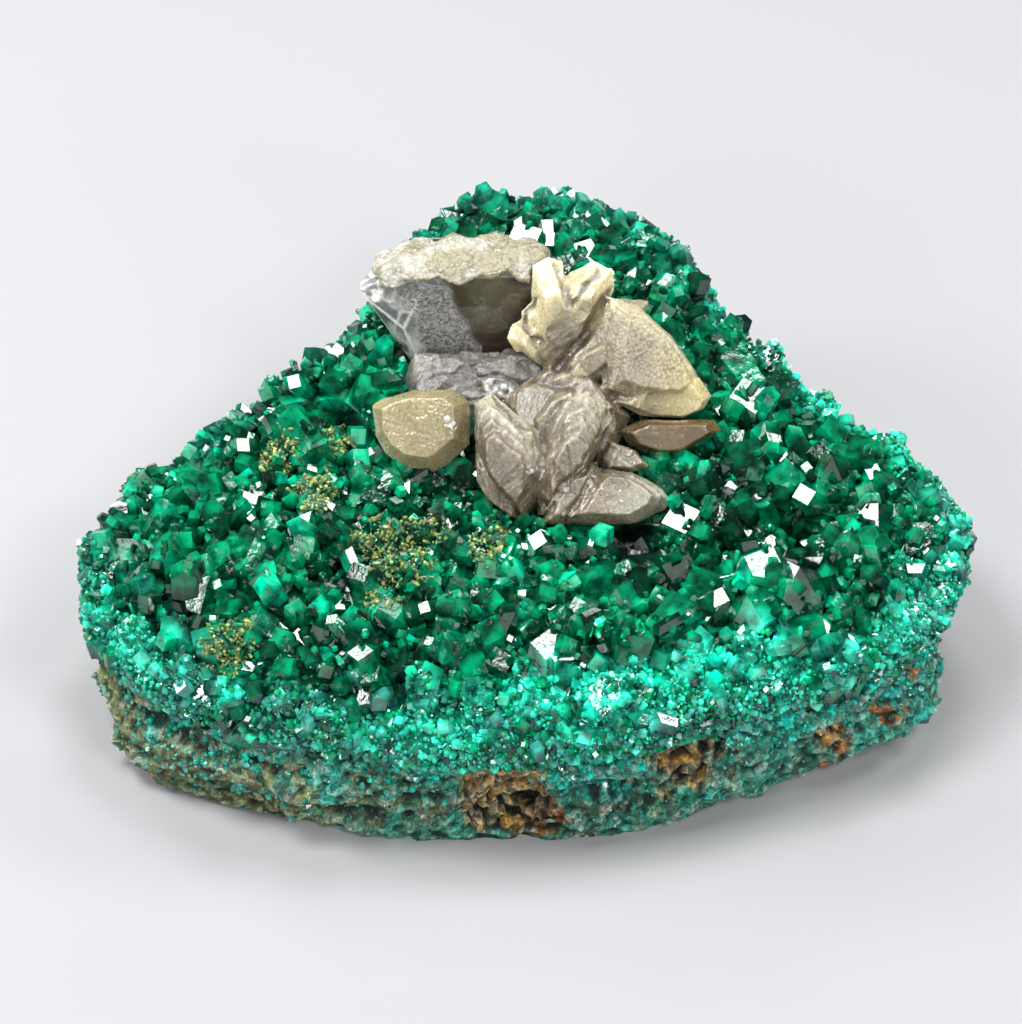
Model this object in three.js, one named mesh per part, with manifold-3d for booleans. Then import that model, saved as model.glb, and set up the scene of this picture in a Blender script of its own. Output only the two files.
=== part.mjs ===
// Cerussite on dioptase: a hand-sized plate of copper-stained rock, crusted on top with green
// dioptase crystals, that carries a cluster of smoky cerussite crystals.
// Millimetres, +Z up. The plate lies on its flat underside and its broad edge faces -Y.
import * as THREE from "three";
import { ConvexGeometry } from "three/addons/geometries/ConvexGeometry.js";
import { mergeVertices } from "three/addons/utils/BufferGeometryUtils.js";
import Module from "manifold-3d";

const wasm = await Module();
wasm.setup();

// The plate seen from above: the edge of the dioptase crust, counterclockwise from the left corner
const RIM = [
  [-44.5, -17], [-36, -28], [-17, -34], [3.5, -35.3], [24, -30.3], [40.5, -22], [46.3, -12],
  [45.3, -2], [39, 3.5], [30, 13], [21.8, 24], [18.8, 31.5], [12, 38.3], [3, 40.5],
  [-7, 37], [-13, 27.5], [-23.5, 13], [-33.5, 2.5], [-43, -7],
];
const FRONT_HEIGHT = 19.8; // top of the crust along the broad front edge
const BACK_RISE = 3.6; // how much higher the crust is at the back corner
const PLATE_DEPTH = 75;
const CRUST = 4.4; // dioptase bed with the seam below it
const BED = 3.8; // dioptase bed alone
const SEAM = 0.3; // between solids that touch
const TIDY = 0.03; // detail finer than this is merged away after joins and cuts
const RIM_DROP = { front: 4.6, back: 1.4 }; // how far the crust rolls down at its edge
const SEGMENTS = 48; // steps round the plate

// The broken side of the rock: how far it stands out from the crust's edge, by share of its height
const SIDE = [
  [0, -4.2], [0.1, -1.4], [0.28, 0.4], [0.5, 1.0], [0.72, 0.2], [0.88, -0.6], [1, -0.9],
];
const FRONT_FOOT = 1.15; // share of that undercut which is missing along the broad front edge
const SIDE_ROUGHNESS = 2.4;
const LEDGE = 0.07; // how far a broken ledge climbs or falls, as a share of the height
const UNDERSIDE_RINGS = [0.45, 0.86];
const TOP_RINGS = [0.9, 0.76, 0.4];
// Weathered pockets in the side: direction in degrees, share of the height, size, depth
const POCKETS = [
  { angle: -91, height: 0.5, wide: 5.2, deep: 3.6 },
  { angle: -62, height: 0.66, wide: 4.4, deep: 3.2 },
  { angle: -38, height: 0.55, wide: 3.6, deep: 2.4 },
  { angle: -12, height: 0.4, wide: 4.2, deep: 2.6 },
  { angle: 112, height: 0.5, wide: 6.0, deep: 3.4 },
  { angle: 196, height: 0.45, wide: 5.0, deep: 2.6 },
];

// Dioptase crystals: stubby six-sided prisms with three-sided tips
const DIOPTASE = {
  count: 160, // crystals
  seed: 21,
  spacing: 3.6,
  width: [1.5, 3.0], // middle to edge of the prism
  stand: [1.0, 2.8], // height over the bed
  root: 1.6, // depth in the bed
  tip: 0.62, // rise of the tip for each millimetre of width
  lean: 0.75, // how far they lean, at random
  outward: 0.9, // how far they lean outwards at the plate's edge
  edge: 0.97, // they keep this share of the way out from the middle
};
const BED_RINGS = [1, 0.9, 0.76, 0.4];
const BED_ROUGHNESS = 0.9;
const BED_FOOT = 0.985; // its lower edge and the middle of its edge, as shares of the way out
const BED_BULGE = 1.012;
// Vugs sunk into the crust: centre, radii
const VUGS = [
  { at: [-20.5, 5.5], size: [3.4, 2.6, 3.2] },
  { at: [-17, -11], size: [2.2, 1.9, 2.8] },
  { at: [11.5, -12.2], size: [4.6, 2.2, 3.2] },
  { at: [29.5, -11.5], size: [3.4, 2.3, 3.0] },
];
const VUG_MARGIN = 1.2; // crystals keep clear of a vug by this many times its radii

// Cerussite blades
const BLADE_FLAT = 0.72; // how far the flat middle of a blade reaches towards its outline
const TERRACE = 0.14; // how much smaller each further plate of a blade is
const TERRACE_PULL = 0.8; // how far the plates gather at the blade's foot
const RIM_GROWTH = 1.5; // how far a sharp rim moves out for its faces to move out by one

// Repeatable random numbers from 0 to 1
function randomFrom(seed) {
  let state = seed;
  return () => {
    state = (state + 0x6d2b79f5) | 0;
    let t = Math.imul(state ^ (state >>> 15), 1 | state);
    t = (t + Math.imul(t ^ (t >>> 7), 61 | t)) ^ t;
    return ((t ^ (t >>> 14)) >>> 0) / 4294967296;
  };
}

// Smooth noise from -1 to 1, with its lattice points one unit apart
function noise(x, y, z) {
  const corner = (i, j, k) => {
    const wave = Math.sin(i * 127.1 + j * 311.7 + k * 74.7) * 43758.5453;
    return 2 * (wave - Math.floor(wave)) - 1;
  };
  const [i, j, k] = [x, y, z].map(Math.floor);
  const [u, v, w] = [x - i, y - j, z - k].map((t) => t * t * (3 - 2 * t));
  const mix = THREE.MathUtils.lerp;
  const edge = (dj, dk) => mix(corner(i, j + dj, k + dk), corner(i + 1, j + dj, k + dk), u);
  return mix(mix(edge(0, 0), edge(1, 0), v), mix(edge(0, 1), edge(1, 1), v), w);
}

const smooth = THREE.MathUtils.smoothstep;
const rimCurve = new THREE.CatmullRomCurve3(RIM.map(([x, y]) => new THREE.Vector3(x, y, 0)), true);
const rimPoints = rimCurve.getPoints(400).slice(0, -1);

// Distance from the plate's middle to the crust's edge in the direction of an angle
function rimRadius(angle) {
  const way = new THREE.Vector3(Math.cos(angle), Math.sin(angle), 0);
  let radius = 0;
  rimPoints.forEach((p, i) => {
    const q = rimPoints[(i + 1) % rimPoints.length];
    const [a, b] = [way.x * p.y - way.y * p.x, way.x * q.y - way.y * q.x];
    if (a * b > 0 || a === b) return;
    const hit = p.clone().lerp(q, a / (a - b));
    radius = Math.max(radius, hit.dot(way));
  });
  return radius;
}

// Height of the dioptase bed. The share is 0 in the middle of the plate and 1 at its edge.
function bedHeight(x, y) {
  const share = Math.hypot(x, y) / rimRadius(Math.atan2(y, x));
  const backward = (y + PLATE_DEPTH / 2) / PLATE_DEPTH;
  const relief = BED_ROUGHNESS * noise(x / 11, y / 11, 3.7);
  const drop = THREE.MathUtils.lerp(RIM_DROP.front, RIM_DROP.back, backward) * smooth(share, 0.74, 1.04);
  return FRONT_HEIGHT + BACK_RISE * backward + relief - drop;
}

// A closed body from rings of points, each joined to the next, with a middle point at both ends
function ringBody(first, rings, last) {
  const count = rings[0].length;
  const vertices = [first, ...rings.flat(), last];
  const index = [];
  for (let i = 0; i < count; i++) {
    const j = (i + 1) % count;
    index.push(0, 1 + j, 1 + i);
    for (let r = 0; r < rings.length - 1; r++) {
      const [a, b] = [1 + r * count, 1 + (r + 1) * count];
      index.push(a + i, a + j, b + j, a + i, b + j, b + i);
    }
    const top = 1 + (rings.length - 1) * count;
    index.push(top + i, top + j, vertices.length - 1);
  }
  const geometry = new THREE.BufferGeometry().setFromPoints(vertices);
  geometry.setIndex(index);
  return geometry;
}

function solid(geometry) {
  const bare = geometry.clone();
  ["normal", "uv"].forEach((name) => bare.deleteAttribute(name));
  const merged = mergeVertices(bare, 1e-4);
  return new wasm.Manifold(new wasm.Mesh({
    numProp: 3,
    vertProperties: new Float32Array(merged.attributes.position.array),
    triVerts: new Uint32Array(merged.index.array),
  }));
}

const joined = (solids) => solids.reduce((whole, next) => whole.add(next));

// The largest body of a solid that a cut may have left in pieces
function mainBody(whole) {
  return whole.decompose().sort((a, b) => b.volume() - a.volume())[0];
}

function meshOf(name, whole, finish) {
  const tidy = mainBody(whole).asOriginal().simplify(TIDY);
  const { numProp, vertProperties, triVerts } = tidy.getMesh();
  const corners = new Float32Array((vertProperties.length / numProp) * 3);
  for (let i = 0; i < corners.length / 3; i++) {
    corners.set(vertProperties.subarray(i * numProp, i * numProp + 3), i * 3);
  }
  const geometry = new THREE.BufferGeometry();
  geometry.setAttribute("position", new THREE.BufferAttribute(corners, 3));
  geometry.setIndex(new THREE.BufferAttribute(triVerts, 1));
  geometry.computeVertexNormals();
  const mesh = new THREE.Mesh(geometry, new THREE.MeshStandardMaterial(finish));
  mesh.name = name;
  return mesh;
}

const angles = Array.from({ length: SEGMENTS }, (_, i) => (i / SEGMENTS) * 2 * Math.PI);
const radii = angles.map(rimRadius);

// How far the side of the rock stands out from the crust's edge: it is undercut, least at the front
function sideOffset(angle, offset) {
  const front = Math.max(0, -Math.sin(angle)) ** 3;
  return offset < 0 ? offset * (1 - FRONT_FOOT * front) : offset;
}

function pocketDepth(angle, share, radius, height) {
  return POCKETS.reduce((sum, pocket) => {
    const turn = angle - THREE.MathUtils.degToRad(pocket.angle);
    const across = Math.atan2(Math.sin(turn), Math.cos(turn)) * radius;
    const up = (share - pocket.height) * height;
    return sum + pocket.deep * Math.exp(-(across ** 2 + 1.8 * up ** 2) / pocket.wide ** 2);
  }, 0);
}

// The rock: flat underneath, broken round its side, its top following the crust
function matrixBody() {
  const topHeight = (x, y) => bedHeight(x, y) - CRUST;
  const rimHeight = angles.map((angle, i) => {
    return topHeight(radii[i] * Math.cos(angle), radii[i] * Math.sin(angle));
  });
  const wall = SIDE.map(([level, offset]) => angles.map((angle, i) => {
    const inside = smooth(level, 0, 0.1) * smooth(1 - level, 0, 0.1);
    const share = level + LEDGE * inside * noise(i / 2.5, level * 7, 1.3);
    const height = rimHeight[i] * share;
    const rough = SIDE_ROUGHNESS * Math.sin(Math.PI * (0.12 + 0.88 * share))
      * noise(radii[i] * Math.cos(angle) / 6, radii[i] * Math.sin(angle) / 6, height / 4);
    const dent = pocketDepth(angle, share, radii[i], rimHeight[i]) * smooth(1 - share, 0, 0.2);
    const radius = radii[i] + sideOffset(angle, offset) + rough - dent;
    return new THREE.Vector3(radius * Math.cos(angle), radius * Math.sin(angle), height);
  }));
  const under = UNDERSIDE_RINGS.map((part) => wall[0].map((p) => p.clone().multiplyScalar(part)));
  const top = TOP_RINGS.map((part) => wall[wall.length - 1].map((p) => {
    const [x, y] = [p.x * part, p.y * part];
    return new THREE.Vector3(x, y, topHeight(x, y));
  }));
  const first = new THREE.Vector3(0, 0, 0);
  const last = new THREE.Vector3(0, 0, topHeight(0, 0));
  return solid(ringBody(first, [...under, ...wall, ...top], last));
}

// The bed that the dioptase crystals stand on
function bedBody() {
  const ring = (part, drop) => angles.map((angle, i) => {
    const [x, y] = [radii[i] * part * Math.cos(angle), radii[i] * part * Math.sin(angle)];
    return new THREE.Vector3(x, y, bedHeight(x, y) - drop);
  });
  const below = [...TOP_RINGS].reverse().map((part) => ring(part, BED));
  const edge = [ring(BED_FOOT, BED), ring(BED_BULGE, BED / 2)];
  const above = BED_RINGS.map((part) => ring(part, 0));
  const middle = (drop) => new THREE.Vector3(0, 0, bedHeight(0, 0) - drop);
  return solid(ringBody(middle(BED), [...below, ...edge, ...above], middle(0)));
}

// Moves a shape that stands along +Z at the origin to a place, points it along a direction and
// twists it about that
function placed(geometry, at, direction, twist) {
  const up = new THREE.Vector3(0, 0, 1);
  const turn = new THREE.Quaternion().setFromUnitVectors(up, direction.clone().normalize());
  const spin = new THREE.Quaternion().setFromAxisAngle(up, twist);
  const matrix = new THREE.Matrix4().compose(at, turn.multiply(spin), new THREE.Vector3(1, 1, 1));
  return geometry.applyMatrix4(matrix);
}

// One dioptase crystal: a hexagonal prism whose tip has three faces
function dioptaseCrystal(width, root, stand) {
  const corners = [];
  const pitch = DIOPTASE.tip * width;
  for (let i = 0; i < 6; i++) {
    const angle = (i * Math.PI) / 3;
    const shoulder = i % 2 ? stand : stand - pitch;
    const [x, y] = [width * Math.cos(angle), width * Math.sin(angle)];
    corners.push(new THREE.Vector3(x, y, -root), new THREE.Vector3(x, y, shoulder));
  }
  corners.push(new THREE.Vector3(0, 0, stand + pitch));
  return new ConvexGeometry(corners);
}

function outwardTilt(x, y) {
  const angle = Math.atan2(y, x);
  const share = Math.hypot(x, y) / rimRadius(angle);
  const tilt = DIOPTASE.outward * smooth(share, 0.78, 1.02);
  return new THREE.Vector3(tilt * Math.cos(angle), tilt * Math.sin(angle), 1);
}

// The dioptase crystals: spread over the plate, clear of the vugs and of what else stands there
function dioptaseCrystals(taken) {
  const draw = randomFrom(DIOPTASE.seed);
  const between = ([low, high]) => low + (high - low) * draw() ** 1.3;
  const places = [];
  const crystals = [];
  const reach = Math.max(...radii);
  while (crystals.length < DIOPTASE.count) {
    const [x, y] = [reach * (2 * draw() - 1), reach * (2 * draw() - 1)];
    const share = Math.hypot(x, y) / rimRadius(Math.atan2(y, x));
    const far = places.every((p) => Math.hypot(p.x - x, p.y - y) > DIOPTASE.spacing);
    const open = VUGS.every(({ at, size }) => {
      return Math.hypot((x - at[0]) / size[0], (y - at[1]) / size[1]) > VUG_MARGIN;
    });
    if (share > DIOPTASE.edge || !far || !open) continue;
    const width = between(DIOPTASE.width);
    const stand = between(DIOPTASE.stand) * (1 - 0.35 * smooth(share, 0.8, 1));
    const direction = outwardTilt(x, y);
    direction.x += DIOPTASE.lean * (2 * draw() - 1);
    direction.y += DIOPTASE.lean * (2 * draw() - 1);
    const at = new THREE.Vector3(x, y, bedHeight(x, y));
    const shape = dioptaseCrystal(width, DIOPTASE.root, stand);
    const crystal = solid(placed(shape, at, direction, draw() * Math.PI));
    if (crystal.intersect(taken).volume() > 0) continue;
    places.push({ x, y });
    crystals.push(crystal);
  }
  return crystals;
}

function vugBodies() {
  return VUGS.map(({ at: [x, y], size }) => {
    const lump = new THREE.IcosahedronGeometry(1, 1).scale(...size);
    return solid(lump.translate(x, y, bedHeight(x, y) + 0.2));
  });
}

// A crystal bounded by flat faces: each is a direction and a distance from the crystal's middle
function facedCrystal(middle, faces, grow = 0) {
  const planes = faces.map(([direction, distance]) => {
    const normal = new THREE.Vector3(...direction).normalize();
    return { normal, distance: distance + grow };
  });
  const corners = [];
  planes.forEach((a, i) => planes.slice(i + 1).forEach((b, j) => planes.slice(i + j + 2).forEach((c) => {
    const cross = b.normal.clone().cross(c.normal);
    const volume = a.normal.dot(cross);
    if (Math.abs(volume) < 1e-3) return;
    const point = cross.multiplyScalar(a.distance)
      .add(c.normal.clone().cross(a.normal).multiplyScalar(b.distance))
      .add(a.normal.clone().cross(b.normal).multiplyScalar(c.distance))
      .divideScalar(volume);
    if (planes.every((p) => p.normal.dot(point) < p.distance + 1e-3)) corners.push(point);
  })));
  return solid(new ConvexGeometry(corners).translate(...middle));
}

// The big smoky crystal: blocky, with bevelled corners and a lower left edge that cuts back under it
const SMOKY = {
  at: [-6.6, 15.8, 28.6],
  faces: [
    [[0.03, -0.98, 0.14], 3.1], [[-0.38, -0.87, 0.3], 4.9], [[-0.97, -0.2, 0.1], 10.1],
    [[-0.84, -0.1, -0.54], 7.2], [[-0.62, 0.1, 0.78], 8.1], [[0, -0.1, 0.99], 6.2],
    [[1, -0.05, 0.05], 9.2], [[0, 1, 0.05], 3.7], [[-0.7, 0.7, 0], 8.0], [[0.75, 0.6, 0.3], 8.4],
    [[0, 0.1, -1], 9.6], [[-0.55, -0.8, -0.1], 5.9],
  ],
};
// A grey tabular crystal in front of it
const GREY = {
  at: [-4.2, 7.4, 24.6],
  faces: [
    [[0, -0.72, 0.7], 2.9], [[0, 0.5, 0.87], 3.4], [[-0.95, -0.1, 0.25], 6.8], [[0.85, -0.2, 0.5], 7.2],
    [[0, -1, 0], 3.6], [[0, 1, 0], 3.4], [[0, 0, -1], 5.2], [[-0.4, -0.3, 0.86], 4.0],
    [[1, 0, 0], 7.6], [[0.35, -0.5, 0.8], 3.7],
  ],
};

// The blades are drawn as seen from 45 degrees above the front edge, past a point over the plate's
// middle: u runs to the right, v up, and depth towards the viewer
const DRAWING = { middle: new THREE.Vector3(0, 0, 13), viewer: new THREE.Vector3(0, -1, 1).normalize() };
const RIGHTWARD = new THREE.Vector3(1, 0, 0);
const UPWARD = DRAWING.viewer.clone().cross(RIGHTWARD);

// One blade: sharp round its outline, flat in the middle of both faces. Its plane crosses the middle
// of the outline at the given depth. Each further plate is a smaller terrace in front of the last.
function bladeBody({ outline, depth, face, thick, plates = 1 }, grow = 0) {
  const normal = new THREE.Vector3(...face).normalize();
  const count = outline.length;
  const [u, v] = [0, 1].map((k) => outline.reduce((sum, point) => sum + point[k], 0) / count);
  const along = (right, up) => {
    const step = RIGHTWARD.clone().multiplyScalar(right).addScaledVector(UPWARD, up);
    return step.addScaledVector(DRAWING.viewer, -step.dot(normal) / DRAWING.viewer.dot(normal));
  };
  const heart = DRAWING.middle.clone().addScaledVector(RIGHTWARD, u).addScaledVector(UPWARD, v)
    .addScaledVector(DRAWING.viewer, depth);
  const foot = along(...outline[0].map((value, k) => value - [u, v][k]));
  return joined(Array.from({ length: plates }, (_, i) => {
    const part = 1 - TERRACE * i;
    const middle = heart.clone().addScaledVector(foot, TERRACE_PULL * (1 - part))
      .addScaledVector(normal, (i * thick) / (plates + 1));
    const corners = outline.flatMap(([cornerU, cornerV]) => {
      const spoke = along(cornerU - u, cornerV - v).multiplyScalar(part);
      const rim = middle.clone().add(spoke).addScaledVector(spoke.clone().normalize(), RIM_GROWTH * grow);
      const flat = middle.clone().addScaledVector(spoke, BLADE_FLAT);
        const offset = normal.clone().multiplyScalar(thick / 2 + grow);
      const [front, back] = [flat.clone().add(offset), flat.clone().sub(offset)];
      return [rim, front, back];
    });
    return solid(new ConvexGeometry(corners));
  }));
}

// The intergrown blades, from the upper fan round to the front. Each outline starts at the foot.
const BLADES = [
  // The upper fan: a twin with a notch between its two tips, and small teeth down its left side
  {
    outline: [
      [3, 14], [1.3, 17], [1.9, 22], [1.6, 26], [3.2, 26.9], [4.8, 26.6], [5.8, 21.5], [6.2, 17],
      [5, 14.6],
    ],
    depth: 4.4, face: [0.25, -0.88, 0.4], thick: 3.4, plates: 2,
  },
  {
    outline: [
      [3.6, 14.2], [4.6, 20], [5.4, 25.4], [8, 26.4], [10.1, 25.6], [10.2, 23.4], [8.6, 19.4],
      [6, 15.6],
    ],
    depth: 4.6, face: [-0.4, -0.85, 0.35], thick: 3.4, plates: 2,
  },
  {
    outline: [[3.1, 14.3], [0.2, 16.4], [-1.2, 18.4], [-0.6, 20], [0.8, 20.6], [2.4, 19], [3.6, 16]],
    depth: 3.9, face: [0.5, -0.7, 0.5], thick: 2.2, plates: 2,
  },
  {
    outline: [[3.2, 15], [0.4, 18.8], [0.4, 21.2], [1.4, 22.2], [2.8, 21], [3.6, 17]],
    depth: 3.7, face: [0.5, -0.8, 0.3], thick: 2.0,
  },
  // The knot between the fan and the right-hand blade
  {
    outline: [[4.4, 13], [4.2, 15], [8, 19.6], [11, 22.6], [14, 22.4], [12.5, 18], [9.5, 13.4], [7, 12]],
    depth: 4.6, face: [0.1, -0.6, 0.8], thick: 4.4,
  },
  {
    outline: [[4.7, 13.6], [7.4, 17], [10.4, 18.8], [11.6, 16.4], [8.4, 13.6]],
    depth: 6.8, face: [-0.2, -0.7, 0.7], thick: 2.6, plates: 2,
  },
  // The right-hand blade
  {
    outline: [
      [8.8, 12.6], [8.6, 18.6], [9.4, 22.8], [13, 21.6], [16.4, 18.6], [19, 14.8], [20, 12.2],
      [18, 10.8], [12, 11.4],
    ],
    depth: 6.4, face: [0.3, -0.62, 0.72], thick: 4.6, plates: 2,
  },
  // Its bright lower lip
  {
    outline: [[9.8, 11.6], [13, 14], [19.2, 14.2], [20.6, 12.2], [19.8, 10.8], [17.4, 9.8], [13, 10]],
    depth: 7.4, face: [0.15, -0.85, 0.5], thick: 3.4,
  },
  // The twin in front: two ridged blades that meet low down
  {
    outline: [
      [1.5, -0.8], [-1.8, 2.6], [-3.8, 5.2], [-4.5, 8], [-4.4, 11.4], [-2.8, 12.6], [-1.4, 11.4],
      [2.2, 8.6], [3, 6], [2.6, 2],
    ],
    depth: 11.4, face: [-0.25, -0.72, 0.64], thick: 4.0, plates: 3,
  },
  {
    outline: [
      [1.7, -0.7], [2.2, 4], [3.2, 8.6], [4.8, 11.6], [7.4, 12.6], [9.2, 11.2], [10.1, 9.6],
      [8.6, 6.6], [5.6, 3.4], [3.4, 1.2],
    ],
    depth: 11.6, face: [0.15, -0.78, 0.6], thick: 4.4, plates: 3,
  },
  {
    outline: [[1.4, -1.2], [-2.2, 1.4], [-4.4, 4.6], [-4.2, 7.4], [-1.4, 4.6], [1.4, 1.4]],
    depth: 10.2, face: [-0.5, -0.7, 0.5], thick: 3.0, plates: 2,
  },
  {
    outline: [[1.6, 4], [1.2, 9.8], [3.4, 12.4], [6, 13.6], [6.4, 10], [4.4, 5]],
    depth: 8.6, face: [0.1, -0.7, 0.7], thick: 4.4,
  },
  // The wedge to the lower right of it
  {
    outline: [[2.4, -1.4], [3.2, 1.4], [6, 4.4], [8.4, 5.4], [9, 2.4], [7.6, -0.6], [5, -1.8]],
    depth: 12.4, face: [0.2, -0.6, 0.78], thick: 3.6, plates: 2,
  },
  {
    outline: [
      [5, -1.4], [7.4, 2.6], [9, 4.6], [12, 4.2], [14.6, 2.8], [16.2, 1.4], [15.6, 0],
      [12.4, -1.8], [8.4, -1.8],
    ],
    depth: 12.2, face: [0.1, -0.5, 0.86], thick: 3.6, plates: 2,
  },
  {
    outline: [[8.2, 5.4], [9.4, 7.6], [12.6, 6.4], [13.8, 4.8], [12, 4], [9, 4.2]],
    depth: 9.6, face: [0.1, -0.6, 0.8], thick: 2.6,
  },
  // The root they share
  {
    outline: [[-2, 6], [-2, 12], [3, 15.4], [9, 14], [12, 10], [10, 5], [4, 3]],
    depth: 6.4, face: [0, -0.4, 0.9], thick: 7,
  },
];
// Two lens-shaped blades that stand apart from the others
const LEFT_LENS = {
  outline: [
    [-4.8, 7], [-4.8, 11.6], [-6.4, 12.8], [-11, 12.8], [-14, 12], [-15.2, 11.2], [-15, 8],
    [-13.8, 6], [-11.8, 4.6], [-8.6, 4], [-7.4, 4.8],
  ],
  depth: 9.2, face: [-0.12, -0.62, 0.78], thick: 4.6,
};
const RIGHT_LENS = {
  outline: [
    [10.4, 8.6], [13, 9.8], [18, 9.8], [20.8, 9.8], [21.6, 8.6], [19.4, 7.4], [17.4, 6.2],
    [14.4, 6], [11.6, 7],
  ],
  depth: 8.0, face: [0, -0.8, 0.6], thick: 3.6,
};
// The white crust along the top of the smoky crystal: the middle and radii of each of its lumps
const WHITE_LUMPS = [
  { at: [-13.0, 16.2, 33.2], size: [2.8, 3.2, 2.0] },
  { at: [-10.2, 16.2, 34.3], size: [3.8, 3.9, 1.9] },
  { at: [-6.4, 15.9, 35.0], size: [3.8, 4.2, 1.7] },
  { at: [-2.4, 16.2, 35.1], size: [3.6, 3.9, 1.5] },
  { at: [1.2, 15.8, 34.8], size: [2.8, 3.8, 1.9] },
];

function whiteCrust() {
  return joined(WHITE_LUMPS.map(({ at, size }, i) => {
    const lump = new THREE.DodecahedronGeometry(1, 0).rotateX(i / 2).rotateZ(i);
    return solid(lump.scale(...size).translate(...at));
  }));
}

const rock = matrixBody();
const bed = bedBody();
const ground = bed.translate([0, 0, SEAM]);

const smoky = facedCrystal(SMOKY.at, SMOKY.faces).subtract(ground);
const smokyRoom = facedCrystal(SMOKY.at, SMOKY.faces, SEAM);
const leftLens = bladeBody(LEFT_LENS).subtract(ground);
const leftRoom = bladeBody(LEFT_LENS, SEAM);
const grey = facedCrystal(GREY.at, GREY.faces).subtract(ground).subtract(smokyRoom).subtract(leftRoom);
const greyRoom = facedCrystal(GREY.at, GREY.faces, SEAM);
const cluster = joined(BLADES.map((blade) => bladeBody(blade)))
  .subtract(ground).subtract(smokyRoom).subtract(greyRoom).subtract(leftRoom);
const clusterRoom = joined(BLADES.map((blade) => bladeBody(blade, SEAM)));
const rightLens = bladeBody(RIGHT_LENS).subtract(ground).subtract(clusterRoom);
const rightRoom = bladeBody(RIGHT_LENS, SEAM);
const white = whiteCrust().subtract(smokyRoom).subtract(clusterRoom);

const taken = joined([smokyRoom, greyRoom, leftRoom, clusterRoom, rightRoom]);
const crust = joined([bed, ...dioptaseCrystals(taken)])
  .subtract(joined(vugBodies()));

const part = new THREE.Group();
part.add(
  meshOf("matrix", rock, { color: 0x5f7d70, roughness: 0.9, metalness: 0 }),
  meshOf("dioptase_crust", crust, { color: 0x00714c, roughness: 0.15, metalness: 0 }),
  meshOf("cerussite_blade_cluster", cluster, { color: 0xb3a68a, roughness: 0.4, metalness: 0 }),
  meshOf("cerussite_smoky_crystal", smoky, { color: 0x6b6459, roughness: 0.08, metalness: 0 }),
  meshOf("white_crust", white, { color: 0xd8d2b8, roughness: 0.7, metalness: 0 }),
  meshOf("cerussite_grey_crystal", grey, { color: 0xa09c90, roughness: 0.4, metalness: 0 }),
  meshOf("cerussite_left_lens", leftLens, { color: 0xb9a777, roughness: 0.35, metalness: 0 }),
  meshOf("cerussite_right_lens", rightLens, { color: 0xa88f68, roughness: 0.35, metalness: 0 }),
);

// Stands the specimen over the origin
const bounds = new THREE.Box3().setFromObject(part);
const middle = bounds.getCenter(new THREE.Vector3());
part.position.set(-middle.x, -middle.y, -bounds.min.z);

export default part;
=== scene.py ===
"""The looks of a cerussite on dioptase specimen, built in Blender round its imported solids.

Points are handled in millimetres as numpy arrays and turned into metres when a mesh is made.
Colours are in linear light, and every random choice is seeded.
"""
import itertools
import math

import bmesh
import bpy
import numpy as np
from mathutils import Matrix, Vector
from mathutils.bvhtree import BVHTree


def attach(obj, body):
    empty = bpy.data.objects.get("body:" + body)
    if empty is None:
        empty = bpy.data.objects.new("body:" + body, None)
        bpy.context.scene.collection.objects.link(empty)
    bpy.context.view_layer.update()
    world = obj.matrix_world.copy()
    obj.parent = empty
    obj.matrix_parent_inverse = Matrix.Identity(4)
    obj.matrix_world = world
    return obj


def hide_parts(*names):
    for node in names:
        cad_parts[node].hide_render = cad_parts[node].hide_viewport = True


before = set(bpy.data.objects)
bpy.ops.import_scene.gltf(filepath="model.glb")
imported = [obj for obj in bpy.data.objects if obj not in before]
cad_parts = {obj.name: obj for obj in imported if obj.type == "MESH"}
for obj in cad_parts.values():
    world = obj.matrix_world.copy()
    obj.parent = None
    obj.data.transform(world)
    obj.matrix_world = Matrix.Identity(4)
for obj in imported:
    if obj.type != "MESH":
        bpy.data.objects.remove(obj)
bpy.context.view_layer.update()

MM = 0.001
BODY = "root"

# The drawing that the crystals are laid out in: seen from 45 degrees above the front edge, u to the
# right and v up, past a point over the plate, with depth towards the viewer
DRAWING_MIDDLE = np.array([-0.936, -2.936, 13.0])
RIGHTWARD = np.array([1.0, 0.0, 0.0])
VIEWER = np.array([0.0, -1.0, 1.0]) / math.sqrt(2)
UPWARD = np.cross(VIEWER, RIGHTWARD)
CAMERA_DISTANCE = 400
PIXELS_PER_MM = 9.35
FRAME_WIDTH, FRAME_HEIGHT = 1022, 1024
AIM_X = 517  # where the drawing's middle falls in the frame
SENSOR = 36
FLOOR_REACH = 3  # metres
LIT_PLACE = (0, 0, 0.015)  # where the lights point, in metres
SKY, SKY_STRENGTH = (0.8, 0.84, 0.88, 1), 0.08
PAPER = (0.33, 0.33, 0.34, 1)


# Camera, lights and floor

def looking_at(obj, target):
    """Turns a camera or a light that is in its place towards a point"""
    obj.rotation_mode = "QUATERNION"
    obj.rotation_quaternion = (Vector(target) - obj.location).to_track_quat("-Z", "Y")


def make_camera():
    data = bpy.data.cameras.new("camera")
    camera = bpy.data.objects.new("camera", data)
    bpy.context.scene.collection.objects.link(camera)
    camera.location = (DRAWING_MIDDLE + CAMERA_DISTANCE * VIEWER) * MM
    looking_at(camera, DRAWING_MIDDLE * MM)
    data.sensor_width = SENSOR
    longest = max(FRAME_WIDTH, FRAME_HEIGHT)
    data.lens = SENSOR * CAMERA_DISTANCE * PIXELS_PER_MM / longest
    data.shift_x = (FRAME_WIDTH / 2 - AIM_X) / longest
    data.clip_start = 0.01
    bpy.context.scene.camera = camera


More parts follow.
